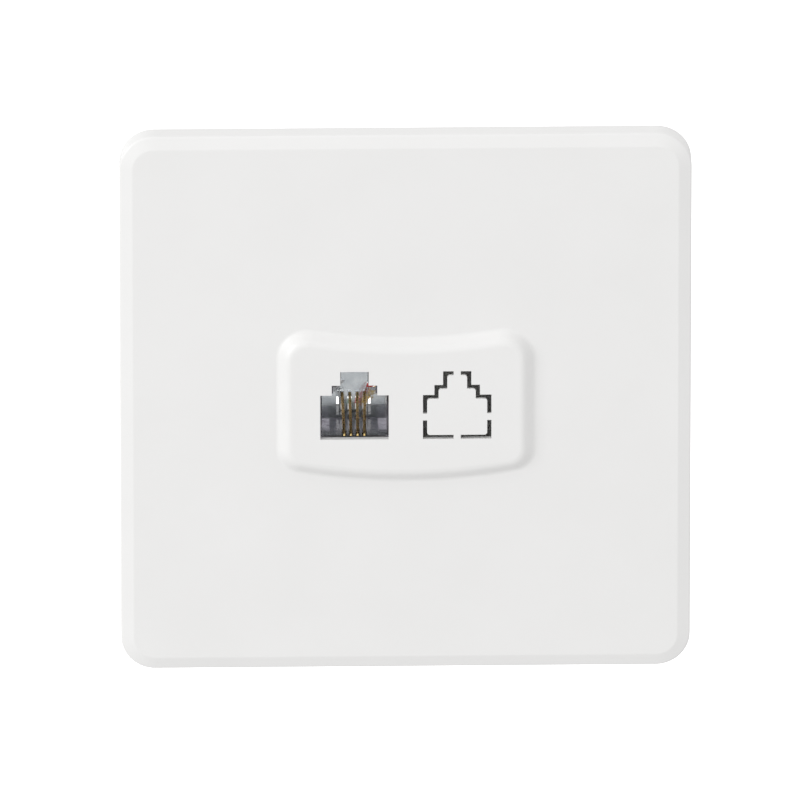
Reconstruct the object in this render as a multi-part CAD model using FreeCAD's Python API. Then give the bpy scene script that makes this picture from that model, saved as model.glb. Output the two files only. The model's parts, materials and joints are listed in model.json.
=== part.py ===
"""Flush telephone wall outlet: a clip-on square cover, a screwed mounting frame, one modular jack and a
four-way terminal block wired to it. Units are millimetres.

Frame: +Z up, the front faces -Y, +X is to the right seen from the front. The origin is the centre of the
face of the mounting frame that lies on the wall, so y = 0 is the wall and y > 0 is inside the wall box.
"""

import os

import FreeCAD
import Part

from math import atan2, cos, pi, radians, sin, sqrt, tan

V = FreeCAD.Vector

# ---- cover ----
PLATE = 86.0  # side of the square cover
PLATE_CORNER = 5.2
WALL_GAP = 0.25  # the cover's rim stays this far off the wall
RIM_DEPTH = 3.6  # from the wall to the start of the bevel
BEVEL_WIDTH = 1.95
BEVEL_DEPTH = 0.6
RIM_ROUND = 0.35
FACE_ROUND = 0.7
FACE_Y = -(RIM_DEPTH + BEVEL_DEPTH)
COVER_WALL = 1.6
RIM_WALL = 1.5
CEILING_Y = FACE_Y + COVER_WALL

# ---- raised boss round the openings ----
BOSS_HEIGHT = 1.5
BOSS_Y = FACE_Y - BOSS_HEIGHT
BOSS_HALF_WIDTH = 19.6
BOSS_TOP_MID = 10.9  # the top edge bows down to this height in the middle
BOSS_TOP_RADIUS = 85.0
BOSS_BOTTOM_MID = -12.7  # the bottom edge bows down to this height in the middle
BOSS_BOTTOM_RADIUS = 90.0
BOSS_CORNER_TOP = 4.8
BOSS_CORNER_BOTTOM = 4.0
BOSS_SLOPE = 1.5  # the slope's width
BOSS_BASE_INSET = 0.35
BOSS_EDGE_ROUND = 1.6
BOSS_FOOT_ROUND = 0.8
BOSS_SKIN = 1.0  # wall left in front of the jacks
BOSS_BACK_Y = BOSS_Y + BOSS_SKIN
BOSS_POCKET = (33.4, 17.2)

# ---- openings for six-position plugs: full widths, and heights of the steps ----
BAY_X = 7.73  # the two openings are this far left and right of the middle
KEY_WIDTHS = (10.3, 6.85, 4.24)
KEY_LEVELS = (-5.2, 1.9, 3.5, 5.7)
KNOCKOUT_SLOT = 0.62
BLANK_THICK = 0.45  # the blank and its webs are thinner than the boss round them
WEB_WIDTH = 1.1
SIDE_WEB_Z = -1.66
BLANK_CORNER = 0.45

# ---- mounting frame ----
FRAME_SIDE = 81.6
FRAME_CORNER = 3.2
FRAME_FRONT_Y = -1.9
WEB_BACK_Y = -0.3  # the frame's middle is thinner than its border
BORDER_INNER = 76.0
BOX_SCREW_SPACING = 60.3
SLOT_LENGTH = 7.5
SLOT_RADIUS = 2.1
CUP_SEAT_Y = 0.8
CUP_BACK_Y = 2.2
CUP_WALL = 1.0
CUP_INNER = (11.0, 8.6)
BAY_WINDOW = (13.6, 14.3)
COLLAR_INNER = (30.6, 16.6)
COLLAR_WALL = 1.2
COLLAR_DEPTH = 3.0
RIB_WIDTH = 1.2
RIB_DEPTH = 2.0
WINDOW_SIZE = (22.0, 14.0)
WINDOW_X = 17.0
WINDOW_Z = 20.6
RIB_LEVELS = (10.9, 30.2, -31.6)
BLIND_BAY_BACK_Y = 4.2  # the right bay is moulded shut
BLIND_BAY_WALL = 1.0

# ---- snap hooks of the cover, and their windows in the frame ----
HOOK_X = 24.0
HOOK_Z = 34.0
HOOK_WIDTH = 7.0
HOOK_THICK = 1.3
HOOK_TIP_Y = 2.4
BARB = 0.45
HOOK_CLEARANCE = 0.12
PRY_NOTCH = (8.0, 1.3)  # width and height of the notch in the lower rim

# ---- stiffening ribs inside the cover ----
SKIN_RIB_HEIGHT = 0.4
SKIN_RIB_WIDTH = 1.0
SKIN_RIB_AT = 12.0
SKIN_RIB_START = 22.0  # the sideways ribs begin this far from the middle

# ---- jack ----
JACK_FRONT_Y = -4.6
JACK_BACK_Y = 10.4
JACK_WIDTH = 13.2
JACK_HALF_HEIGHT = 6.95
JACK_BARB = 0.55
CAVITY_WIDTHS = (9.8, 6.4, 4.05)
CAVITY_LEVELS = (-5.0, 1.75, 3.35, 5.55)
MOUTH_CHAMFER = 0.2
COMB_Y = 3.0
COMB_THICK = 1.4
COMB_HALF_WIDTH = 4.85
COMB_TOP = -0.67
COMB_SLOT_LOW = -4.6
COMB_SLOT_WIDTH = 0.64
COMB_END_SLOT_WIDTH = 0.4
COMB_END_SLOT_X = 2.4  # from the bay's centre line
COMB_PITCH = 1.13  # the contacts spread a little towards the comb
COMB_SCREEN = (4.2, -2.1)  # a thin wall closes the slots behind this y and above this z
KEEPER_TOP = 5.4  # the raised part of the carrier that keeps the contacts' ends down
# Its outline from the front, about the bay's centre line. It widens to the lower left, with a small notch.
KEEPER_OUTLINE = (
    (-2.65, COMB_TOP - 0.1),
    (1.65, COMB_TOP - 0.1),
    (2.35, 1.3),
    (2.35, KEEPER_TOP),
    (-2.3, KEEPER_TOP),
    (-2.3, 1.1),
    (-1.3, 0.95),
    (-1.75, 0.55),
)
FLOOR_THICK = 0.6
LEDGE_DEPTH = 2.6  # the latch hooks behind a wall this thick
CARRIER_HALF_WIDTH = 3.6

# ---- contacts ----
PITCH = 1.02
CONTACTS = 4
WIRE_RADIUS = 0.22
BEND_Y = -3.6
BEND_Z = -5.45
BEND_RADIUS = 0.55
ARM_SLOPE = 27.0  # degrees above the cavity's floor, with no plug in
ARM_END_Y = 3.5
TAIL_END_Y = 9.6

# ---- terminal block ----
TERMINAL_PITCH = 9.0
TERMINAL_Z = -24.0
BLOCK_HEIGHT = 12.0
BLOCK_BASE = 4.8
BLOCK_RIB = 1.2
BLOCK_RIB_TOP = 9.4
EAR_X = 21.5
EAR_THICK = 2.4
EAR_RADIUS = 3.4
PLATE_THICK = 1.2
PLATE_WIDTH = 6.5
PLATE_LENGTH = 10.3
PLATE_SUNK = 0.6  # how deep the brass plate sits in the block
LUG_THICK = 0.6
LUG_GAP = 3.24  # between the fork's prongs
WASHER_THICK = 0.8
WASHER_SIDE = 6.4
SCREW_RADIUS = 1.45
SCREW_HEAD_RADIUS = 2.8
SCREW_HEAD = 1.8
SCREW_SHANK = 5.4
TERMINAL_PLATE_Y = WEB_BACK_Y + BLOCK_BASE
LUG_Y = TERMINAL_PLATE_Y + PLATE_THICK
WASHER_Y = LUG_Y + LUG_THICK
HEAD_Y = WASHER_Y + WASHER_THICK
BLOCK_SCREW_RADIUS = 1.15
BLOCK_SCREW_HEAD_RADIUS = 2.2
BLOCK_SCREW_HEAD = 1.4
RECESS_WIDTH = 0.7

# ---- leads ----
LEAD_RADIUS = 0.47
BARREL_RADIUS = 0.95
BARREL_LENGTH = 3.2
BARREL_FOOT = (LUG_Y + 0.65, -19.2)  # y and z of the middle of the barrel's lower end
BARREL_LEAN = 40.0  # degrees from upright, towards the back
BARREL_BORE = 2.2
TAIL_Z = BEND_Z - BEND_RADIUS

# The leads from left to right seen from the front, at the contacts and at the terminals alike.
LEAD_COLOURS = ("black", "green", "red", "yellow")

os.makedirs("parts", exist_ok=True)


# ---------------------------------------------------------------- helpers
def box(x0, x1, y0, y1, z0, z1):
    return Part.makeBox(x1 - x0, y1 - y0, z1 - z0, V(x0, y0, z0))


def rod_y(x, z, radius, y0, y1):
    """A cylinder along Y."""
    return Part.makeCylinder(radius, y1 - y0, V(x, y0, z), V(0, 1, 0))


def rounded_wire(points, radii, y):
    """A closed outline in the plane at y. points are (x, z); each corner has its own radius, 0 for sharp."""
    count = len(points)
    flat = [V(x, y, z) for x, z in points]
    starts, ends, arcs = [], [], []
    for i, corner in enumerate(flat):
        before = (flat[i - 1] - corner).normalize()
        after = (flat[(i + 1) % count] - corner).normalize()
        half = before.getAngle(after) / 2
        if radii[i] == 0:
            starts.append(corner)
            ends.append(corner)
            arcs.append(None)
            continue
        cut = radii[i] / tan(half)
        to_centre = (before + after).normalize()
        middle = corner + to_centre * (radii[i] / sin(half) - radii[i])
        starts.append(corner + before * cut)
        ends.append(corner + after * cut)
        arcs.append(middle)
    edges = []
    for i in range(count):
        if arcs[i] is not None:
            edges.append(Part.Arc(starts[i], arcs[i], ends[i]).toShape())
        following = starts[(i + 1) % count]
        if (following - ends[i]).Length > 1e-6:
            edges.append(Part.LineSegment(ends[i], following).toShape())
    return Part.Wire(edges)


def rectangle(width, height, radius, y, cx=0.0, cz=0.0):
    w, h = width / 2, height / 2
    corners = [(cx - w, cz - h), (cx + w, cz - h), (cx + w, cz + h), (cx - w, cz + h)]
    return rounded_wire(corners, [radius] * 4, y)


def slab(wire, depth):
    """The outline pushed along +Y by depth."""
    return Part.Face(wire).extrude(V(0, depth, 0))


def edges_at(shape, y, inside=None):
    """Edges lying in the plane at y; inside limits them to those whose centre passes a test."""
    found = []
    for edge in shape.Edges:
        b = edge.BoundBox
        if abs(b.YMin - y) < 1e-4 and abs(b.YMax - y) < 1e-4:
            if inside is None or inside(edge.CenterOfMass):
                found.append(edge)
    return found


def stepped_points(cx, widths, levels):
    """The keyed outline of a modular plug: a wide body, a step, and the latch's slot on top."""
    half = [w / 2 for w in widths]
    right = [(half[0], levels[0]), (half[0], levels[1]), (half[1], levels[1])]
    right += [(half[1], levels[2]), (half[2], levels[2]), (half[2], levels[3])]
    left = [(-x, z) for x, z in reversed(right)]
    return [(cx + x, z) for x, z in right + left]


def tube(points, radius):
    """A round cord along straight runs joined by tangent arcs. Returns the solid and its bend radii."""
    route = [V(*p) for p in points]
    edges, radii, start = [], [], route[0]
    for i in range(1, len(route) - 1):
        into = route[i] - route[i - 1]
        out = route[i + 1] - route[i]
        turn = into.getAngle(out)
        bend = 0.45 * min(into.Length, out.Length) / tan(turn / 2)
        radii.append(round(bend, 2))
        cut = bend * tan(turn / 2)
        into.normalize()
        out.normalize()
        first = route[i] - into * cut
        last = route[i] + out * cut
        inward = (out - into).normalize()
        middle = route[i] + inward * (bend / cos(turn / 2) - bend)
        edges.append(Part.LineSegment(start, first).toShape())
        edges.append(Part.Arc(first, middle, last).toShape())
        start = last
    edges.append(Part.LineSegment(start, route[-1]).toShape())
    path = Part.Wire(edges)
    circle = Part.Wire(Part.Circle(route[0], route[1] - route[0], radius).toShape())
    solid = path.makePipeShell([circle], True, False)
    solid = solid if solid.ShapeType == "Solid" else solid.Solids[0]
    ideal = pi * radius**2 * path.Length
    if abs(solid.Volume / ideal - 1) > 0.01:
        raise ValueError(f"a tube's volume is {solid.Volume:.3f} and should be {ideal:.3f}")
    return solid, radii


def save(name, *solids):
    """Writes one node. Several solids stay separate in it."""
    for solid in solids:
        if not solid.isValid():
            raise ValueError(f"{name} is not a valid solid")
    shape = solids[0] if len(solids) == 1 else Part.makeCompound(list(solids))
    shape.exportStep(f"parts/{name}.step")
    print(name, len(solids), round(sum(s.Volume for s in solids), 2))


def only_solid(shape):
    """The single solid in a boolean's result."""
    if len(shape.Solids) != 1:
        raise ValueError(f"expected one solid and got {len(shape.Solids)}")
    return shape.removeSplitter().Solids[0]


# ---------------------------------------------------------------- cover
def boss_wire(inset, y):
    """The boss's outline, set in by inset: straight sides, and a top and bottom that both bow downwards."""
    w = BOSS_HALF_WIDTH - inset
    top_centre = BOSS_TOP_MID + BOSS_TOP_RADIUS
    top_r = BOSS_TOP_RADIUS + inset
    low_centre = BOSS_BOTTOM_MID + BOSS_BOTTOM_RADIUS
    low_r = BOSS_BOTTOM_RADIUS - inset
    rt = BOSS_CORNER_TOP - inset
    rb = BOSS_CORNER_BOTTOM - inset

    tx = w - rt
    tz = top_centre - sqrt((top_r + rt) ** 2 - tx**2)
    bx = w - rb
    bz = low_centre - sqrt((low_r - rb) ** 2 - bx**2)
    top_share = top_r / (top_r + rt)
    low_share = low_r / (low_r - rb)
    top_touch = (tx * top_share, top_centre - (top_centre - tz) * top_share)
    low_touch = (bx * low_share, low_centre - (low_centre - bz) * low_share)

    def arc(a, b, c):
        return Part.Arc(V(a[0], y, a[1]), V(b[0], y, b[1]), V(c[0], y, c[1])).toShape()

    def line(a, b):
        return Part.LineSegment(V(a[0], y, a[1]), V(b[0], y, b[1])).toShape()

    def corner_middle(cx, cz, radius, touch):
        """Half-way round a corner, between the straight side and the point where it meets the arc."""
        half = atan2(touch[1] - cz, touch[0] - cx) / 2
        return (cx + radius * cos(half), cz + radius * sin(half))

    def mirrored(p):
        return (-p[0], p[1])

    top_mid = corner_middle(tx, tz, rt, top_touch)
    low_mid = corner_middle(bx, bz, rb, low_touch)
    side_top, side_low = (w, tz), (w, bz)
    edges = [
        arc(mirrored(low_touch), (0, low_centre - low_r), low_touch),
        arc(low_touch, low_mid, side_low),
        line(side_low, side_top),
        arc(side_top, top_mid, top_touch),
        arc(top_touch, (0, top_centre - top_r), mirrored(top_touch)),
        arc(mirrored(top_touch), mirrored(top_mid), mirrored(side_top)),
        line(mirrored(side_top), mirrored(side_low)),
        arc(mirrored(side_low), mirrored(low_mid), mirrored(low_touch)),
    ]
    return Part.Wire(edges)


def cover_outside():
    """The plate with its bevelled edge, and the boss with its rounded foot and edge."""
    inner_side = PLATE - 2 * BEVEL_WIDTH
    rim = slab(rectangle(PLATE, PLATE, PLATE_CORNER, -RIM_DEPTH), RIM_DEPTH - WALL_GAP)
    bevel = Part.makeLoft(
        [
            rectangle(PLATE, PLATE, PLATE_CORNER, -RIM_DEPTH),
            rectangle(inner_side, inner_side, PLATE_CORNER - BEVEL_WIDTH, FACE_Y),
        ],
        True,
        True,
    )
    boss = Part.makeLoft(
        [
            boss_wire(BOSS_BASE_INSET, FACE_Y),
            boss_wire(BOSS_BASE_INSET + BOSS_SLOPE, BOSS_Y),
        ],
        True,
        True,
    )
    body = only_solid(rim.fuse(bevel).fuse(boss))

    def in_boss(point):
        return abs(point.x) < BOSS_HALF_WIDTH + 1 and abs(point.z) < -BOSS_BOTTOM_MID + 2

    def on_border(point):
        return not in_boss(point)

    body = body.makeFillet(BOSS_EDGE_ROUND, edges_at(body, BOSS_Y))
    body = body.makeFillet(BOSS_FOOT_ROUND, edges_at(body, FACE_Y, in_boss))
    body = body.makeFillet(RIM_ROUND, edges_at(body, -RIM_DEPTH))
    return body.makeFillet(FACE_ROUND, edges_at(body, FACE_Y, on_border))


def snap_hook(x, side):
    """A blade from the cover's ceiling, its barb facing away from the middle; side is +1 above, -1 below."""
    z0 = side * HOOK_Z
    z1 = z0 + side * HOOK_THICK
    tip = z1 + side * BARB
    outline = [
        V(x - HOOK_WIDTH / 2, CEILING_Y - 0.4, z0),
        V(x - HOOK_WIDTH / 2, CEILING_Y - 0.4, z1),
        V(x - HOOK_WIDTH / 2, WEB_BACK_Y + 0.15, z1),
        V(x - HOOK_WIDTH / 2, WEB_BACK_Y + 0.45, tip),
        V(x - HOOK_WIDTH / 2, WEB_BACK_Y + 1.1, tip),
        V(x - HOOK_WIDTH / 2, HOOK_TIP_Y, z1 - side * 0.5),
        V(x - HOOK_WIDTH / 2, HOOK_TIP_Y, z0),
    ]
    wire = Part.makePolygon(outline + [outline[0]])
    return Part.Face(wire).extrude(V(HOOK_WIDTH, 0, 0))


def skin_ribs():
    """Low ribs on the cover's ceiling, running out from the boss to the rim."""
    y0, y1 = CEILING_Y - 0.3, CEILING_Y + SKIN_RIB_HEIGHT
    half = SKIN_RIB_WIDTH / 2
    far = PLATE / 2 - RIM_WALL - 1
    ribs = []
    for side in (-1, 1):
        for place in (-SKIN_RIB_AT, SKIN_RIB_AT):
            low, high = sorted((side * SKIN_RIB_AT, side * far))
            ribs.append(box(place - half, place + half, y0, y1, low, high))
            low, high = sorted((side * SKIN_RIB_START, side * far))
            ribs.append(box(low, high, y0, y1, place - half, place + half))
    return ribs


def keyed_cut(cx):
    """The sharp-cornered cut for a plug, right through the boss."""
    points = stepped_points(cx, KEY_WIDTHS, KEY_LEVELS)
    return slab(rounded_wire(points, [0] * len(points), BOSS_Y - 0.2), BOSS_SKIN + 0.4)


def knockout_cut(cx):
    """The slots round the blank, less the four webs that hold it, and the relief behind them all."""
    s = KNOCKOUT_SLOT
    widths = [w - 2 * s for w in KEY_WIDTHS]
    levels = [KEY_LEVELS[0] + s] + [z - s for z in KEY_LEVELS[1:]]
    points = stepped_points(cx, widths, levels)
    outer_corner = (0, 1, 3, 5, 6, 8, 10, 11)
    radii = [BLANK_CORNER if i in outer_corner else 0 for i in range(len(points))]
    blank = slab(rounded_wire(points, radii, BOSS_Y - 0.3), BOSS_SKIN + 0.6)
    y0, y1 = BOSS_Y - 0.5, BOSS_BACK_Y + 0.5
    half = WEB_WIDTH / 2
    tall = box(cx - half, cx + half, y0, y1, KEY_LEVELS[0] - 1, KEY_LEVELS[3] + 1)
    wide = box(cx - 7, cx + 7, y0, y1, SIDE_WEB_Z - half, SIDE_WEB_Z + half)
    slots = keyed_cut(cx).cut(blank).cut(tall).cut(wide)
    plug = stepped_points(cx, KEY_WIDTHS, KEY_LEVELS)
    relief = slab(rounded_wire(plug, [0] * len(plug), BOSS_Y + BLANK_THICK), BOSS_SKIN)
    return slots.fuse(relief)


def cover_plate():
    inside = PLATE - 2 * RIM_WALL
    body = cover_outside()
    body = body.cut(slab(rectangle(inside, inside, PLATE_CORNER - RIM_WALL, CEILING_Y), 5))
    body = body.cut(slab(rectangle(*BOSS_POCKET, 1.5, BOSS_BACK_Y), 3))
    for x in (-HOOK_X, HOOK_X):
        body = body.fuse(snap_hook(x, 1)).fuse(snap_hook(x, -1))
    for rib in skin_ribs():
        body = body.fuse(rib)
    body = body.cut(keyed_cut(-BAY_X)).cut(knockout_cut(BAY_X))
    half, tall = PRY_NOTCH[0] / 2, PRY_NOTCH[1]
    body = body.cut(box(-half, half, -tall, 0, -PLATE / 2 - 1, -PLATE / 2 + RIM_WALL + 0.5))
    return only_solid(body)


# ---------------------------------------------------------------- mounting frame
def slot_wire(x, length, radius, y):
    half = length / 2 - radius
    a, b = V(x - half, y, -radius), V(x + half, y, -radius)
    c, d = V(x + half, y, radius), V(x - half, y, radius)
    right, left = V(x + length / 2, y, 0), V(x - length / 2, y, 0)
    return Part.Wire(
        [
            Part.LineSegment(a, b).toShape(),
            Part.Arc(b, right, c).toShape(),
            Part.LineSegment(c, d).toShape(),
            Part.Arc(d, left, a).toShape(),
        ]
    )


def screw_cup(x, body):
    """A recessed seat that lets a box screw's head sit below the frame's front."""
    wide, tall = CUP_INNER
    rim = rectangle(wide + 2 * CUP_WALL, tall + 2 * CUP_WALL, 2.6, FRAME_FRONT_Y, x)
    outer = slab(rim, CUP_BACK_Y - FRAME_FRONT_Y)
    inner = slab(rectangle(wide, tall, 1.8, FRAME_FRONT_Y - 1, x), CUP_SEAT_Y - FRAME_FRONT_Y + 1)
    slot = slab(slot_wire(x, SLOT_LENGTH, SLOT_RADIUS, CUP_SEAT_Y - 1), 4)
    return body.fuse(outer).cut(inner).cut(slot)


def blind_bay(body):
    """The right-hand bay: a deep pocket with its back closed, where a second jack would go."""
    wide, tall = BAY_WINDOW
    wall = 2 * BLIND_BAY_WALL
    shell = rectangle(wide + wall, tall + wall, 1.2, FRAME_FRONT_Y, BAY_X)
    pocket = rectangle(wide, tall, 0.6, FRAME_FRONT_Y - 1, BAY_X)
    body = body.fuse(slab(shell, BLIND_BAY_BACK_Y - FRAME_FRONT_Y))
    return body.cut(slab(pocket, BLIND_BAY_BACK_Y - FRAME_FRONT_Y + 1 - BLIND_BAY_WALL))


def frame_ribs():
    reach = BORDER_INNER / 2 - 0.4
    y0, y1 = WEB_BACK_Y - 0.5, WEB_BACK_Y + RIB_DEPTH
    half = RIB_WIDTH / 2
    collar_top = COLLAR_INNER[1] / 2 + COLLAR_WALL / 2
    ribs = [box(-half, half, y0, y1, collar_top, reach)]
    for z in RIB_LEVELS:
        ribs.append(box(-reach, reach, y0, y1, z - half, z + half))
    cup_edge = CUP_INNER[1] / 2 + CUP_WALL - 0.1
    for x in (-BOX_SCREW_SPACING / 2 - 3, BOX_SCREW_SPACING / 2 + 3):
        ribs.append(box(x - half, x + half, y0, y1, RIB_LEVELS[2], -cup_edge))
        ribs.append(box(x - half, x + half, y0, y1, cup_edge, RIB_LEVELS[1]))
    return ribs


def block_screw_holes():
    """Pilot holes under the terminal block's two ears."""
    radius = BLOCK_SCREW_RADIUS + 0.03
    return [rod_y(x, TERMINAL_Z, radius, FRAME_FRONT_Y - 1, WEB_BACK_Y + 1) for x in (-EAR_X, EAR_X)]


def mounting_frame():
    thick = WEB_BACK_Y - FRAME_FRONT_Y
    body = slab(rectangle(FRAME_SIDE, FRAME_SIDE, FRAME_CORNER, FRAME_FRONT_Y), thick)
    border = slab(rectangle(FRAME_SIDE, FRAME_SIDE, FRAME_CORNER, FRAME_FRONT_Y), -FRAME_FRONT_Y)
    border = border.cut(slab(rectangle(BORDER_INNER, BORDER_INNER, 1.6, FRAME_FRONT_Y - 1), 5))
    body = body.fuse(border)
    wide, tall = COLLAR_INNER
    around = rectangle(wide + 2 * COLLAR_WALL, tall + 2 * COLLAR_WALL, 2.4, WEB_BACK_Y - 0.5)
    within = rectangle(wide, tall, 1.2, WEB_BACK_Y - 1)
    collar = slab(around, COLLAR_DEPTH + 0.5).cut(slab(within, COLLAR_DEPTH + 3))
    body = body.fuse(collar)
    for rib in frame_ribs():
        body = body.fuse(rib)
    for x in (-BOX_SCREW_SPACING / 2, BOX_SCREW_SPACING / 2):
        body = screw_cup(x, body)
    body = body.cut(slab(rectangle(*BAY_WINDOW, 0.6, FRAME_FRONT_Y - 1, -BAY_X), 4))
    body = blind_bay(body)
    for x in (-WINDOW_X, WINDOW_X):
        body = body.cut(slab(rectangle(*WINDOW_SIZE, 2.0, FRAME_FRONT_Y - 1, x, WINDOW_Z), 4))
    for x in (-HOOK_X, HOOK_X):
        for side in (-1, 1):
            near = side * (HOOK_Z - HOOK_CLEARANCE)
            far = side * (HOOK_Z + HOOK_THICK + BARB + HOOK_CLEARANCE)
            half = HOOK_WIDTH / 2 + 0.3
            body = body.cut(box(x - half, x + half, FRAME_FRONT_Y - 1, 5, min(near, far), max(near, far)))
    for hole in block_screw_holes():
        body = body.cut(hole)
    return only_solid(body)


# ---------------------------------------------------------------- jack
def contact_x(index):
    return -BAY_X + (index - (CONTACTS - 1) / 2) * PITCH


def comb_x(index):
    return -BAY_X + (index - (CONTACTS - 1) / 2) * COMB_PITCH


def jack_housing():
    """A sleeve open at both ends: the keyed socket in front, and the room for the contact carrier behind."""
    cx = -BAY_X
    half = JACK_WIDTH / 2
    body = box(cx - half, cx + half, JACK_FRONT_Y, JACK_BACK_Y, -JACK_HALF_HEIGHT, JACK_HALF_HEIGHT)
    body = body.makeFillet(0.4, [e for e in body.Edges if e.BoundBox.YLength > 5])
    flange = slab(rectangle(JACK_WIDTH + 1.4, 2 * JACK_HALF_HEIGHT + 1.2, 0.8, FRAME_FRONT_Y - 1.5, cx), 1.5)
    body = body.fuse(flange)
    for side in (-1, 1):
        inner, outer = cx + side * (half - 0.5), cx + side * (half + JACK_BARB)
        front, back = WEB_BACK_Y + 0.05, WEB_BACK_Y + 3.2
        barb = [V(inner, front, -3), V(outer, front, -3), V(inner, back, -3)]
        body = body.fuse(Part.Face(Part.makePolygon(barb + [barb[0]])).extrude(V(0, 0, 6)))
    points = stepped_points(cx, CAVITY_WIDTHS, CAVITY_LEVELS)
    body = body.cut(slab(rounded_wire(points, [0] * 12, JACK_FRONT_Y - 1), COMB_Y - JACK_FRONT_Y + 1))
    mouth = [e for e in edges_at(body, JACK_FRONT_Y) if abs(e.CenterOfMass.x - cx) < half - 1]
    mouth = [e for e in mouth if abs(e.CenterOfMass.z) < JACK_HALF_HEIGHT - 0.5]
    body = body.makeChamfer(MOUTH_CHAMFER, mouth)
    wide = CAVITY_WIDTHS[1] / 2
    latch_y = JACK_FRONT_Y + LEDGE_DEPTH
    body = body.cut(box(cx - wide, cx + wide, latch_y, COMB_Y, 0, CAVITY_LEVELS[3]))
    rear_half = COMB_HALF_WIDTH + 0.05
    floor_low = CAVITY_LEVELS[0] - FLOOR_THICK
    y0, y1 = COMB_Y - 0.01, JACK_BACK_Y + 1
    body = body.cut(box(cx - rear_half, cx + rear_half, y0, y1, floor_low - 0.1, CAVITY_LEVELS[1]))
    body = body.cut(box(cx - wide, cx + wide, y0, y1, 0, CAVITY_LEVELS[3]))
    under = CARRIER_HALF_WIDTH + 0.05
    body = body.cut(box(cx - under, cx + under, BEND_Y + 0.5, y1, -JACK_HALF_HEIGHT - 1, floor_low))
    y0, y1 = JACK_FRONT_Y + 0.12, BEND_Y + 1.6
    for i in range(CONTACTS):
        x = contact_x(i)
        body = body.cut(box(x - 0.33, x + 0.33, y0, y1, TAIL_Z - 0.4, CAVITY_LEVELS[0] + 1))
    return only_solid(body)


def contact_carrier():
    """An L-shaped insert: a grooved base under the socket's floor, and the comb that guides the springs."""
    cx = -BAY_X
    top = CAVITY_LEVELS[0] - FLOOR_THICK - 0.05
    left, right = cx - CARRIER_HALF_WIDTH, cx + CARRIER_HALF_WIDTH
    y0, y1 = COMB_Y + 0.05, COMB_Y + COMB_THICK
    base = box(left, right, BEND_Y + 0.7, JACK_BACK_Y - 0.2, -JACK_HALF_HEIGHT + 0.05, top)
    comb = box(cx - COMB_HALF_WIDTH, cx + COMB_HALF_WIDTH, y0, y1, top, COMB_TOP)
    foot = box(left, right, y0, y1, top - 0.4, top + 0.1)
    outline = [(cx + x, z) for x, z in KEEPER_OUTLINE]
    keeper = slab(rounded_wire(outline, [0] * len(outline), y0), y1 - y0)
    screen_y, screen_z = COMB_SCREEN
    screen = box(cx - COMB_HALF_WIDTH, cx + COMB_HALF_WIDTH, screen_y, y1, screen_z, COMB_TOP)
    slots = [(comb_x(i), COMB_SLOT_WIDTH / 2) for i in range(CONTACTS)]
    slots += [(cx + side * COMB_END_SLOT_X, COMB_END_SLOT_WIDTH / 2) for side in (-1, 1)]
    for x, half in slots:
        comb = comb.cut(box(x - half, x + half, COMB_Y - 1, y1 + 1, COMB_SLOT_LOW, COMB_TOP + 1))
    body = base.fuse(comb).fuse(screen).fuse(foot).fuse(keeper)
    for i in range(CONTACTS):
        x = contact_x(i)
        groove_low = TAIL_Z - WIRE_RADIUS - 0.02
        body = body.cut(box(x - 0.25, x + 0.25, BEND_Y, JACK_BACK_Y, groove_low, top + 0.001))
        body = body.cut(rod_y(x, TAIL_Z, 0.48, JACK_BACK_Y - 3.4, JACK_BACK_Y + 1))
    return only_solid(body)


def contact_spring(index):
    """The sprung stretch of a contact, from the front bend, about which it turns, up to the comb."""
    x = contact_x(index)
    angle = radians(90 + ARM_SLOPE)
    gap = radians(3)

    def on_bend(turn):
        return V(x, BEND_Y + BEND_RADIUS * cos(turn), BEND_Z + BEND_RADIUS * sin(turn))

    first = on_bend(-pi / 2 - gap)
    last = on_bend(angle)
    middle = on_bend((angle + 3 * pi / 2 - gap) / 2)
    reach = (ARM_END_Y - last.y) / cos(radians(ARM_SLOPE))
    end = last + V(0, cos(radians(ARM_SLOPE)), sin(radians(ARM_SLOPE))) * reach
    bend = Part.Arc(first, middle, last).toShape()
    path = Part.Wire([bend, Part.LineSegment(last, end).toShape()])
    circle = Part.Wire(Part.Circle(first, bend.tangentAt(bend.FirstParameter), WIRE_RADIUS).toShape())
    pipe = path.makePipeShell([circle], True, False)
    solid = pipe.Solids[0] if pipe.ShapeType != "Solid" else pipe
    spread = atan2(comb_x(index) - x, COMB_Y - BEND_Y)
    return solid.rotate(V(x, BEND_Y, 0), V(0, 0, 1), -spread * 180 / pi)


def contact_tail(index):
    return rod_y(contact_x(index), TAIL_Z, WIRE_RADIUS, BEND_Y, TAIL_END_Y)


def crimp_ferrule(index):
    """The crimped sleeve that joins a contact's tail to its lead."""
    x = contact_x(index)
    y0 = JACK_BACK_Y - 2.6
    sleeve = rod_y(x, TAIL_Z, LEAD_RADIUS - 0.02, y0, TAIL_END_Y + 0.6)
    return sleeve.cut(rod_y(x, TAIL_Z, WIRE_RADIUS + 0.01, y0 - 1, TAIL_END_Y + 0.01))


# ---------------------------------------------------------------- terminal block
def terminal_x(index):
    return (index - (CONTACTS - 1) / 2) * TERMINAL_PITCH


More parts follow.
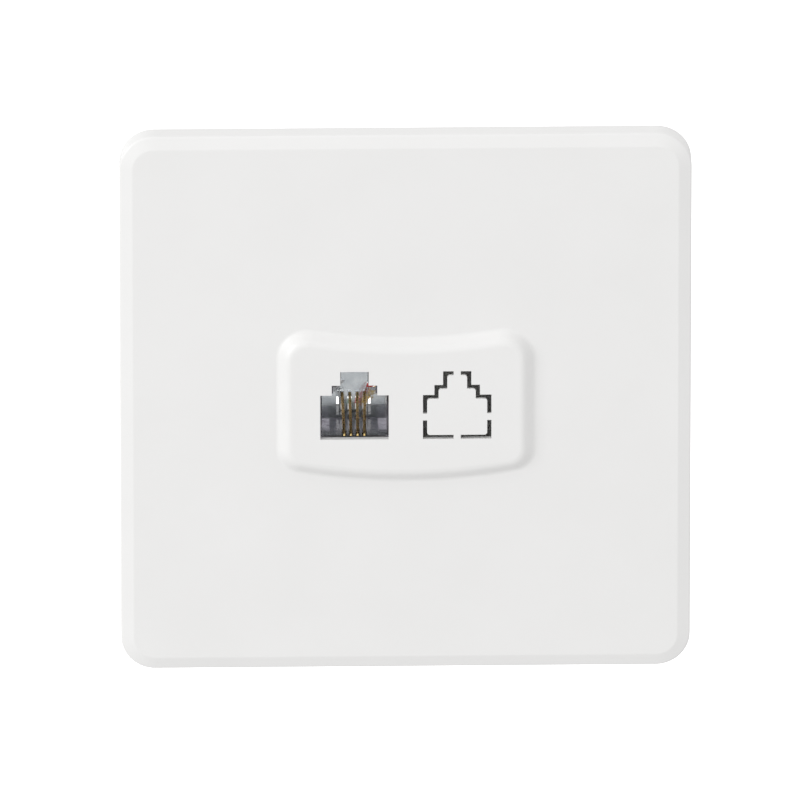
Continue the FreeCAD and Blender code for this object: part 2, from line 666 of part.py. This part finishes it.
def terminal_block():
    half_wide = CONTACTS * TERMINAL_PITCH / 2 + BLOCK_RIB / 2
    low, high = TERMINAL_Z - BLOCK_HEIGHT / 2, TERMINAL_Z + BLOCK_HEIGHT / 2
    body = box(-half_wide, half_wide, WEB_BACK_Y, TERMINAL_PLATE_Y, low, high)
    half = BLOCK_RIB / 2
    for i in range(CONTACTS + 1):
        x = (i - CONTACTS / 2) * TERMINAL_PITCH
        body = body.fuse(box(x - half, x + half, TERMINAL_PLATE_Y - 0.5, BLOCK_RIB_TOP, low, high))
    body = body.removeSplitter()
    ends = [e for e in body.Edges if e.BoundBox.YLength > 8 and abs(abs(e.BoundBox.XMin) - half_wide) < 0.01]
    body = body.makeFillet(0.6, ends)
    y0, y1 = WEB_BACK_Y, WEB_BACK_Y + EAR_THICK
    for side in (-1, 1):
        ear = rod_y(side * EAR_X, TERMINAL_Z, EAR_RADIUS, y0, y1)
        x0, x1 = sorted((side * (half_wide - 0.5), side * EAR_X))
        ear = ear.fuse(box(x0, x1, y0, y1, TERMINAL_Z - EAR_RADIUS, TERMINAL_Z + EAR_RADIUS))
        hole = rod_y(side * EAR_X, TERMINAL_Z, BLOCK_SCREW_RADIUS + 0.15, y0 - 1, y1 + 1)
        body = body.fuse(ear).cut(hole)
    for i in range(CONTACTS):
        x = terminal_x(i)
        body = body.cut(rod_y(x, TERMINAL_Z, SCREW_RADIUS + 0.45, WEB_BACK_Y + 0.8, TERMINAL_PLATE_Y + 1))
        sunk = TERMINAL_PLATE_Y - PLATE_SUNK
        low, high = TERMINAL_Z - PLATE_LENGTH / 2 - 0.05, TERMINAL_Z + PLATE_LENGTH / 2 + 0.05
        half = PLATE_WIDTH / 2 + 0.05
        body = body.cut(box(x - half, x + half, sunk, TERMINAL_PLATE_Y, low, high))
    return only_solid(body)


def terminal_plate(index):
    """The threaded brass plate that lies in the block under a screw."""
    x = terminal_x(index)
    half, reach = PLATE_WIDTH / 2, PLATE_LENGTH / 2
    sunk = TERMINAL_PLATE_Y - PLATE_SUNK
    plate = box(x - half, x + half, sunk, LUG_Y, TERMINAL_Z - reach, TERMINAL_Z + reach)
    plate = plate.makeChamfer(0.3, edges_at(plate, LUG_Y))
    plate = plate.fuse(rod_y(x, TERMINAL_Z, SCREW_RADIUS + 0.4, TERMINAL_PLATE_Y - 1.4, TERMINAL_PLATE_Y))
    return only_solid(plate.cut(rod_y(x, TERMINAL_Z, SCREW_RADIUS + 0.05, -2, 12)))


def clamp_washer(index):
    x = terminal_x(index)
    washer = slab(rectangle(WASHER_SIDE, WASHER_SIDE, 0.7, WASHER_Y, x, TERMINAL_Z), WASHER_THICK)
    washer = washer.makeFillet(0.2, edges_at(washer, HEAD_Y))
    return only_solid(washer.cut(rod_y(x, TERMINAL_Z, SCREW_RADIUS + 0.15, WASHER_Y - 1, HEAD_Y + 1)))


def cross_recess(x, z, y_top, size, depth):
    """The driver recess: a straight slot crossed by a shorter one."""
    half, short_size = RECESS_WIDTH / 2, size * 0.55
    long = box(x - size, x + size, y_top - depth, y_top + 1, z - half, z + half)
    short = box(x - half, x + half, y_top - depth * 1.15, y_top + 1, z - short_size, z + short_size)
    return long.fuse(short)


def terminal_screw(index):
    x = terminal_x(index)
    top = HEAD_Y + SCREW_HEAD
    head = rod_y(x, TERMINAL_Z, SCREW_HEAD_RADIUS, HEAD_Y + 0.01, top)
    head = head.makeFillet(0.75, edges_at(head, top))
    shank = rod_y(x, TERMINAL_Z, SCREW_RADIUS, HEAD_Y - SCREW_SHANK, HEAD_Y + 0.5)
    shank = shank.makeChamfer(0.4, edges_at(shank, HEAD_Y - SCREW_SHANK))
    return only_solid(head.fuse(shank).cut(cross_recess(x, TERMINAL_Z, top, SCREW_HEAD_RADIUS, 0.8)))


def block_screw(side):
    x = side * EAR_X
    seat = WEB_BACK_Y + EAR_THICK
    top = seat + BLOCK_SCREW_HEAD
    head = rod_y(x, TERMINAL_Z, BLOCK_SCREW_HEAD_RADIUS, seat, top)
    head = head.makeFillet(0.6, edges_at(head, top))
    shank = rod_y(x, TERMINAL_Z, BLOCK_SCREW_RADIUS, FRAME_FRONT_Y, seat + 0.3)
    return only_solid(head.fuse(shank).cut(cross_recess(x, TERMINAL_Z, top, 1.3, 0.7)))


def barrel_axis():
    return V(0, sin(radians(BARREL_LEAN)), cos(radians(BARREL_LEAN)))


def barrel_point(index, along):
    """A point on the axis of a lug's barrel, this far from its lower end."""
    y, z = BARREL_FOOT
    return V(terminal_x(index), y, z) + barrel_axis() * along


def spade_lug(index):
    """A fork under the clamp washer, with a crimped barrel that leans back above the block."""
    x = terminal_x(index)
    y0, y1 = LUG_Y, LUG_Y + LUG_THICK
    fork = slab(rectangle(5.8, 6.2, 1.6, y0, x, TERMINAL_Z + 0.5), LUG_THICK)
    fork = fork.cut(rod_y(x, TERMINAL_Z, LUG_GAP / 2, y0 - 1, y1 + 1))
    fork = fork.cut(box(x - LUG_GAP / 2, x + LUG_GAP / 2, y0 - 1, y1 + 1, TERMINAL_Z - 4, TERMINAL_Z))
    neck = box(x - 0.9, x + 0.9, y0, y1, TERMINAL_Z + 3.2, BARREL_FOOT[1] + 0.3)
    foot, axis = barrel_point(index, 0), barrel_axis()
    barrel = Part.makeCylinder(BARREL_RADIUS, BARREL_LENGTH, foot, axis)
    bore_foot = barrel_point(index, BARREL_LENGTH - BARREL_BORE)
    bore = Part.makeCylinder(LEAD_RADIUS + 0.02, BARREL_BORE + 1, bore_foot, axis)
    return only_solid(fork.fuse(neck).fuse(barrel).cut(bore))


# ---------------------------------------------------------------- leads
# The points of each lead between its ferrule and the mouth of its lug.
LEAD_ROUTES = {
    "black": [
        (-9.3, 13.6, -5.8),
        (-9.9, 16.5, -4.9),
        (-12.4, 18.7, -5.7),
        (-14.9, 18.4, -9.0),
        (-14.9, 15.5, -12.4),
    ],
    "green": [
        (-8.15, 13.6, -6.2),
        (-7.2, 15.8, -9.4),
        (-5.7, 14.4, -12.8),
    ],
    "red": [
        (-6.8, 13.3, -5.8),
        (-5.0, 15.8, -4.6),
        (-2.3, 17.5, -4.3),
        (1.2, 17.5, -5.9),
        (3.5, 16.3, -8.5),
        (4.4, 14.1, -11.3),
    ],
    "yellow": [
        (-5.9, 12.8, -5.9),
        (-4.2, 14.5, -4.8),
        (-1.1, 15.4, -4.4),
        (2.8, 14.8, -5.1),
        (7.4, 14.5, -6.6),
        (11.4, 13.9, -9.2),
    ],
}


def lead(colour):
    """A lead from its ferrule at the back of the jack, round to its lug."""
    index = LEAD_COLOURS.index(colour)
    start = (contact_x(index), TAIL_END_Y + 0.69, TAIL_Z)
    before_lug = tuple(barrel_point(index, BARREL_LENGTH + 2.8))
    end = tuple(barrel_point(index, BARREL_LENGTH - BARREL_BORE + 0.05))
    solid, radii = tube([start] + LEAD_ROUTES[colour] + [before_lug, end], LEAD_RADIUS)
    print(colour, "bend radii", radii)
    return solid


def main():
    save("cover_plate", cover_plate())
    save("mounting_frame", mounting_frame())
    save("jack_housing", jack_housing())
    save("contact_carrier", contact_carrier())
    save("crimp_ferrules", *[crimp_ferrule(i) for i in range(CONTACTS)])
    for i in range(CONTACTS):
        save(f"contact_spring_{i + 1}", contact_spring(i))
        save(f"contact_tail_{i + 1}", contact_tail(i))
        save(f"spade_lug_{i + 1}", spade_lug(i))
        save(f"terminal_plate_{i + 1}", terminal_plate(i))
        save(f"clamp_washer_{i + 1}", clamp_washer(i))
        save(f"terminal_screw_{i + 1}", terminal_screw(i))
    save("terminal_block", terminal_block())
    save("block_screws", block_screw(-1), block_screw(1))
    for colour in LEAD_COLOURS:
        save(f"lead_{colour}", lead(colour))


main()
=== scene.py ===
"""The looks of a telephone wall outlet: a material for every CAD part, with screw threads and bare
strands added, and a plain white studio round it. Lengths are in metres."""

import json
import math
import random

import bmesh
import bpy
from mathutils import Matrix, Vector


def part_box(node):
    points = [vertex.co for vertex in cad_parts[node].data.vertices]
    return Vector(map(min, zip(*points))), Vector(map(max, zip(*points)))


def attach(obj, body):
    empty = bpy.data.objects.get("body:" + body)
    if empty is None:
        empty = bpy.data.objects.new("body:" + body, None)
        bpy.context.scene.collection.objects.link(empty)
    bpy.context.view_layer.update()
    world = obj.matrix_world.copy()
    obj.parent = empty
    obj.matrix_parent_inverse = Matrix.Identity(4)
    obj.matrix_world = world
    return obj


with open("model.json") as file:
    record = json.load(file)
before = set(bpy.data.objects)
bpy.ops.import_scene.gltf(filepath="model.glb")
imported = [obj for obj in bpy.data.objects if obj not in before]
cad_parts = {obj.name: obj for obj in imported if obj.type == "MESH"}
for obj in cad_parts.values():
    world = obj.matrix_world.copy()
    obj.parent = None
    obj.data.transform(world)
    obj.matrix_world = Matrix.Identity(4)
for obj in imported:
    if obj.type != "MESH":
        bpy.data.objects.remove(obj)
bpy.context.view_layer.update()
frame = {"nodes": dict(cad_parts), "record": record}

MM = 0.001
NODES = frame["nodes"]

# ---- camera ----
CAMERA_DISTANCE = 4.0
CAMERA_AZIMUTH = -1.2
CAMERA_ELEVATION = 21.44
VIEW_WIDTH = 0.1206  # how wide a strip the picture shows at the object
AIM_RIGHT = -0.00077  # the picture's centre is this far right of the frame's origin, and this far above it
AIM_UP = -0.00103

# ---- studio ----
ROOM_LIGHT = 0.92
ROOM_COLOUR = (1.0, 0.995, 0.995, 1)
FLOOR_LEVEL = -2.6
FLOOR_SIZE = 40
FLOOR_COLOUR = (0.74, 0.74, 0.74)
# Each light's direction from the object, distance, size and power.
LIGHTS = {
    "key": ((-0.77, -0.57, 0.29), 1.6, 0.9, 9),
    "back": ((-0.7, 1.0, -0.1), 1.6, 0.6, 1),
}

# ---- small details ----
THREAD_PITCH = 0.5 * MM
THREAD_CREST = 1.49 * MM
THREAD_ROOT = 1.36 * MM
THREAD_HALF_FOOT = 0.24 * MM
THREAD_HALF_CREST = 0.03 * MM
THREAD_STEPS = 32  # steps in each turn
THREAD_SPAN = (0.35 * MM, 4.6 * MM)  # where it starts and ends, from the screw's tip
TERMINALS = range(1, 5)
STRAND_RADIUS = 0.09 * MM
STRAND_COUNT = 7
STRAND_SPREAD = 0.2 * MM
STRAND_TOP = (6.95 * MM, -19.0 * MM)  # how far back and how high the strands leave the barrel
STRAND_DROP = 0.95 * MM
STRAND_DROP_SPREAD = 0.35 * MM
STRAND_FORWARD = 0.75 * MM
STRAND_BOW = 0.08 * MM
STRAND_SEED = 4

# ---- plastic and insulation ----
# Colour of the painted shade that darkens the socket's plastic where shade falls inside it.
PAINTED_SHADE_COLOUR = (0.03, 0.028, 0.035, 1)
# Painted shade at the socket's mouth: the jack's plastic is darker towards the front of its floor, where
# shade falls.
MOUTH_PAINTED_SHADE = ("Y", -4.5 * MM, -2.4 * MM, 0.92)  # axis, where it is darkest, where it ends, and how dark
# Painted shade on the contact carrier's comb: darker towards the bottom of the socket, where shade falls.
COMB_PAINTED_SHADE = ("Z", -4.6 * MM, -1.4 * MM, 0.7)
SMOOTH_SLOTS = ("black_insulation", "red_insulation", "green_insulation", "yellow_insulation")


# ---------------------------------------------------------------- studio
def make_camera():
    azimuth = math.radians(CAMERA_AZIMUTH)
    elevation = math.radians(CAMERA_ELEVATION)
    back = Vector(
        (
            math.sin(azimuth) * math.cos(elevation),
            -math.cos(azimuth) * math.cos(elevation),
            math.sin(elevation),
        )
    )
    right = Vector((math.cos(azimuth), math.sin(azimuth), 0))
    up = back.cross(right)
    data = bpy.data.cameras.new("camera")
    data.sensor_width = 36
    data.lens = data.sensor_width * CAMERA_DISTANCE / VIEW_WIDTH
    data.clip_start = 0.1
    data.clip_end = 50
    camera = bpy.data.objects.new("camera", data)
    camera.location = right * AIM_RIGHT + up * AIM_UP + back * CAMERA_DISTANCE
    camera.rotation_euler = (-back).to_track_quat("-Z", "Y").to_euler()
    bpy.context.scene.collection.objects.link(camera)
    bpy.context.scene.camera = camera


def area_light(name, direction, distance, size, power):
    data = bpy.data.lights.new(name, "AREA")
    data.shape = "DISK"
    data.size = size
    data.energy = power
    light = bpy.data.objects.new(name, data)
    towards = Vector(direction).normalized()
    light.location = towards * distance
    light.rotation_euler = (-towards).to_track_quat("-Z", "Y").to_euler()
    bpy.context.scene.collection.objects.link(light)


def make_world():
    """White to the camera, and a softer white as light on the object."""
    world = bpy.data.worlds.new("studio")
    bpy.context.scene.world = world
    world.use_nodes = True
    tree = world.node_tree
    tree.nodes.clear()
    seen = tree.nodes.new("ShaderNodeBackground")
    seen.inputs["Strength"].default_value = 1.0
    lit = tree.nodes.new("ShaderNodeBackground")
    lit.inputs["Color"].default_value = ROOM_COLOUR
    lit.inputs["Strength"].default_value = ROOM_LIGHT
    path = tree.nodes.new("ShaderNodeLightPath")
    mix = tree.nodes.new("ShaderNodeMixShader")
    out = tree.nodes.new("ShaderNodeOutputWorld")
    tree.links.new(path.outputs["Is Camera Ray"], mix.inputs["Fac"])
    tree.links.new(lit.outputs[0], mix.inputs[1])
    tree.links.new(seen.outputs[0], mix.inputs[2])
    tree.links.new(mix.outputs[0], out.inputs["Surface"])


def make_floor():
    """A pale floor far below, seen as clean as the room round it."""
    bpy.ops.mesh.primitive_plane_add(size=FLOOR_SIZE, location=(0, 0, FLOOR_LEVEL))
    floor = bpy.context.object
    floor.name = "floor"
    mat, shader, tree = new_material("floor_white", FLOOR_COLOUR, 0.9)
    path = tree.nodes.new("ShaderNodeLightPath")
    shader.inputs["Emission Color"].default_value = (1, 1, 1, 1)
    tree.links.new(path.outputs["Is Camera Ray"], shader.inputs["Emission Strength"])
    floor.data.materials.append(mat)


# ---------------------------------------------------------------- materials
# Places of a Mix node's colour sockets, whose names it shares with its other kinds.
MIX_COLOUR_A = 6
MIX_COLOUR_B = 7
MIX_COLOUR_RESULT = 2


def new_material(name, colour, roughness, metallic=0.0):
    mat = bpy.data.materials.new(name)
    mat.use_nodes = True
    tree = mat.node_tree
    shader = tree.nodes["Principled BSDF"]
    shader.inputs["Base Color"].default_value = (*colour, 1)
    shader.inputs["Roughness"].default_value = roughness
    shader.inputs["Metallic"].default_value = metallic
    return mat, shader, tree


def object_noise(tree, size, detail=3.0):
    """Noise in the object's own metres; size is that of its largest spots."""
    coords = tree.nodes.new("ShaderNodeTexCoord")
    noise = tree.nodes.new("ShaderNodeTexNoise")
    noise.inputs["Scale"].default_value = 1 / size
    noise.inputs["Detail"].default_value = detail
    tree.links.new(coords.outputs["Object"], noise.inputs["Vector"])
    return noise


def vary_colour(tree, shader, noise, dark, light):
    ramp = tree.nodes.new("ShaderNodeValToRGB")
    ramp.color_ramp.elements[0].position = 0.3
    ramp.color_ramp.elements[0].color = (*dark, 1)
    ramp.color_ramp.elements[1].position = 0.7
    ramp.color_ramp.elements[1].color = (*light, 1)
    tree.links.new(noise.outputs["Fac"], ramp.inputs["Fac"])
    tree.links.new(ramp.outputs["Color"], shader.inputs["Base Color"])


def vary_roughness(tree, shader, noise, low, high):
    spread = tree.nodes.new("ShaderNodeMapRange")
    spread.inputs["From Min"].default_value = 0.3
    spread.inputs["From Max"].default_value = 0.7
    spread.inputs["To Min"].default_value = low
    spread.inputs["To Max"].default_value = high
    tree.links.new(noise.outputs["Fac"], spread.inputs["Value"])
    tree.links.new(spread.outputs["Result"], shader.inputs["Roughness"])


def relief(tree, shader, noise, height, strength, edge=None):
    """Surface relief from a noise, over edges that are rounded by the radius in edge."""
    bump = tree.nodes.new("ShaderNodeBump")
    bump.inputs["Distance"].default_value = height
    bump.inputs["Strength"].default_value = strength
    tree.links.new(noise.outputs["Fac"], bump.inputs["Height"])
    if edge:
        bevel = tree.nodes.new("ShaderNodeBevel")
        bevel.samples = 4
        bevel.inputs["Radius"].default_value = edge
        tree.links.new(bevel.outputs["Normal"], bump.inputs["Normal"])
    tree.links.new(bump.outputs["Normal"], shader.inputs["Normal"])


def moulded_plastic(name, dark, light, rough):
    mat, shader, tree = new_material(name, light, rough)
    vary_colour(tree, shader, object_noise(tree, 14 * MM), dark, light)
    vary_roughness(tree, shader, object_noise(tree, 3 * MM), rough - 0.05, rough + 0.05)
    relief(tree, shader, object_noise(tree, 0.22 * MM, 2.0), 0.01 * MM, 0.25, 0.12 * MM)
    shader.inputs["IOR"].default_value = 1.52
    return mat


def paint_shade(tree, shader, axis, dark_at, clear_at, share):
    """Paints the colour darker along one axis. It stands in for shade inside the socket, and isn't a property
    of the plastic."""
    coords = tree.nodes.new("ShaderNodeTexCoord")
    axes = tree.nodes.new("ShaderNodeSeparateXYZ")
    tree.links.new(coords.outputs["Object"], axes.inputs["Vector"])
    amount = tree.nodes.new("ShaderNodeMapRange")
    amount.inputs["From Min"].default_value = dark_at
    amount.inputs["From Max"].default_value = clear_at
    amount.inputs["To Min"].default_value = share
    amount.inputs["To Max"].default_value = 0
    tree.links.new(axes.outputs[axis], amount.inputs["Value"])
    mix = tree.nodes.new("ShaderNodeMix")
    mix.data_type = "RGBA"
    before = shader.inputs["Base Color"].links[0].from_socket
    mix.inputs[MIX_COLOUR_B].default_value = PAINTED_SHADE_COLOUR
    tree.links.new(amount.outputs["Result"], mix.inputs["Factor"])
    tree.links.new(before, mix.inputs[MIX_COLOUR_A])
    tree.links.new(mix.outputs[MIX_COLOUR_RESULT], shader.inputs["Base Color"])


def clear_plastic(name, dark, light, transmission, rough, painted_shade_span):
    """Translucent plastic, clouded and slightly wavy; its last argument says where painted shade darkens it.
    """
    mat, shader, tree = new_material(name, light, rough)
    vary_colour(tree, shader, object_noise(tree, 1.7 * MM, 4.0), dark, light)
    # Painted shade: the colour is darkened along one axis where shade falls inside the socket.
    paint_shade(tree, shader, *painted_shade_span)
    relief(tree, shader, object_noise(tree, 1.3 * MM, 3.0), 0.12 * MM, 0.6, 0.08 * MM)
    shader.inputs["Transmission Weight"].default_value = transmission
    shader.inputs["IOR"].default_value = 1.57
    return mat


def metal(name, dark, light, rough, relief_strength=0.4):
    mat, shader, tree = new_material(name, light, rough, 1.0)
    vary_colour(tree, shader, object_noise(tree, 1.6 * MM, 5.0), dark, light)
    vary_roughness(tree, shader, object_noise(tree, 0.8 * MM, 5.0), rough - 0.08, rough + 0.1)
    relief(tree, shader, object_noise(tree, 0.12 * MM, 3.0), 0.006 * MM, relief_strength, 0.06 * MM)
    return mat


def insulation(name, dark, light):
    mat, shader, tree = new_material(name, light, 0.32)
    vary_colour(tree, shader, object_noise(tree, 2.5 * MM), dark, light)
    relief(tree, shader, object_noise(tree, 0.5 * MM, 3.0), 0.01 * MM, 0.5)
    shader.inputs["Coat Weight"].default_value = 0.25
    shader.inputs["Coat Roughness"].default_value = 0.2
    return mat


MATERIALS = {
    "cover": moulded_plastic("satin_white_abs", (0.815, 0.815, 0.808), (0.83, 0.83, 0.824), 0.38),
    "frame": moulded_plastic("plain_white_abs", (0.74, 0.74, 0.72), (0.78, 0.78, 0.765), 0.48),
    "block": moulded_plastic("grey_nylon", (0.60, 0.61, 0.60), (0.66, 0.67, 0.655), 0.42),
    # The jack's smoky plastic, with painted shade at the socket's mouth.
    "jack": clear_plastic(
        "smoky_polycarbonate_painted_shade", (0.30, 0.28, 0.35), (0.72, 0.70, 0.77), 0.88, 0.12, MOUTH_PAINTED_SHADE
    ),
    # The carrier's pale plastic, with painted shade towards the bottom of the socket.
    "carrier": clear_plastic(
        "pale_polycarbonate", (0.62, 0.67, 0.71), (0.90, 0.95, 0.97), 0.85, 0.14, COMB_PAINTED_SHADE
    ),
    "contact": metal("gold_plate", (0.70, 0.50, 0.20), (0.82, 0.61, 0.27), 0.26, 0.05),
    "ferrule": metal("crimped_tin", (0.50, 0.49, 0.47), (0.72, 0.71, 0.68), 0.36),
    "lug": metal("tinned_copper", (0.56, 0.55, 0.53), (0.76, 0.75, 0.72), 0.34),
    "terminal_brass": metal("terminal_brass", (0.56, 0.40, 0.15), (0.82, 0.63, 0.28), 0.33),
    "zinc": metal("zinc_plate", (0.52, 0.54, 0.56), (0.74, 0.75, 0.76), 0.3),
    "copper": metal("bare_copper", (0.55, 0.24, 0.13), (0.85, 0.45, 0.27), 0.3),
    "black_insulation": insulation("black_pvc", (0.012, 0.012, 0.013), (0.024, 0.024, 0.026)),
    "red_insulation": insulation("red_pvc", (0.42, 0.012, 0.010), (0.56, 0.022, 0.016)),
    "green_insulation": insulation("green_pvc", (0.012, 0.20, 0.045), (0.020, 0.30, 0.07)),
    "yellow_insulation": insulation("yellow_pvc", (0.62, 0.36, 0.012), (0.78, 0.50, 0.020)),
}


def dress_cad_parts():
    for row in frame["record"]["subparts"]:
        node = NODES[row["node"]]
        node.data.materials.clear()
        node.data.materials.append(MATERIALS[row["material_slot"]])
        if row["material_slot"] in SMOOTH_SLOTS:
            node.data.shade_smooth()


# ---------------------------------------------------------------- pieces
def add_piece(name, data, body, slot, material=None):
    piece = bpy.data.objects.new(name, data)
    bpy.context.scene.collection.objects.link(piece)
    data.materials.append(MATERIALS[material or slot])
    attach(piece, body)
    return piece


def strand_curves(name, routes):
    """Round wires on smooth lines; each route is a list of points in metres."""
    data = bpy.data.curves.new(name, "CURVE")
    data.dimensions = "3D"
    data.bevel_depth = STRAND_RADIUS
    data.bevel_resolution = 5
    data.use_fill_caps = True
    for route in routes:
        spline = data.splines.new("NURBS")
        spline.points.add(len(route) - 1)
        for point, place in zip(spline.points, route):
            point.co = (*place, 1)
        spline.order_u = 3
        spline.use_endpoint_u = True
        spline.resolution_u = 6
    return data


def strand_route(x, number, rng):
    """One strand of a lug: the last runs down the middle, and the others in a ring round it."""
    turn = 2 * math.pi * number / (STRAND_COUNT - 1)
    spread = 0 if number == STRAND_COUNT - 1 else STRAND_SPREAD
    dx, dy = spread * math.cos(turn), spread * math.sin(turn)
    y, z = STRAND_TOP
    top = Vector((x + dx, y + dy, z))
    drop = STRAND_DROP + STRAND_DROP_SPREAD * rng.random()
    end = top + Vector((dx * 0.9, -STRAND_FORWARD + dy * 0.3, -drop))
    middle = (top + end) / 2 + Vector((0, STRAND_BOW, 0))
    return [top, middle, end]


def make_strands():
    """Bare copper ends that show past the lower mouth of each lug's barrel."""
    rng = random.Random(STRAND_SEED)
    for i in TERMINALS:
        low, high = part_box(f"spade_lug_{i}")
        x = (low.x + high.x) / 2
        routes = [strand_route(x, number, rng) for number in range(STRAND_COUNT)]
        add_piece(f"strands_{i}", strand_curves(f"strands_{i}", routes), "base", "lug", "copper")


def thread_mesh(name, axis_x, axis_z, y_from, y_to):
    """A helical ridge with a blunt triangular section round a line along Y, fading out at both ends."""
    count = int((y_to - y_from) / THREAD_PITCH * THREAD_STEPS)
    mesh = bmesh.new()
    rings = []
    for k in range(count + 1):
        angle = 2 * math.pi * k / THREAD_STEPS
        y = y_from + THREAD_PITCH * k / THREAD_STEPS
        fade = min(1.0, k / THREAD_STEPS, (count - k) / THREAD_STEPS)
        crest = THREAD_ROOT + (THREAD_CREST - THREAD_ROOT) * fade
        section = (
            (THREAD_ROOT, -THREAD_HALF_FOOT),
            (crest, -THREAD_HALF_CREST),
            (crest, THREAD_HALF_CREST),
            (THREAD_ROOT, THREAD_HALF_FOOT),
        )
        ring = []
        for radius, along in section:
            place = (axis_x + radius * math.cos(angle), y + along, axis_z - radius * math.sin(angle))
            ring.append(mesh.verts.new(place))
        rings.append(ring)
    for near, far in zip(rings, rings[1:]):
        for a in range(4):
            b = (a + 1) % 4
            mesh.faces.new((near[a], near[b], far[b], far[a]))
    mesh.faces.new(rings[0])
    mesh.faces.new(reversed(rings[-1]))
    bmesh.ops.recalc_face_normals(mesh, faces=mesh.faces)
    data = bpy.data.meshes.new(name)
    mesh.to_mesh(data)
    mesh.free()
    return data


def make_threads():
    start, end = THREAD_SPAN
    for i in TERMINALS:
        low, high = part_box(f"terminal_screw_{i}")
        x, z = (low.x + high.x) / 2, (low.z + high.z) / 2
        data = thread_mesh(f"screw_thread_{i}", x, z, low.y + start, low.y + end)
        add_piece(f"screw_thread_{i}", data, f"screw_{i}", "zinc")


def main():
    make_camera()
    make_world()
    make_floor()
    for name, settings in LIGHTS.items():
        area_light(name, *settings)
    dress_cad_parts()
    make_strands()
    make_threads()


main()
bpy.context.scene.view_settings.view_transform = "Standard"
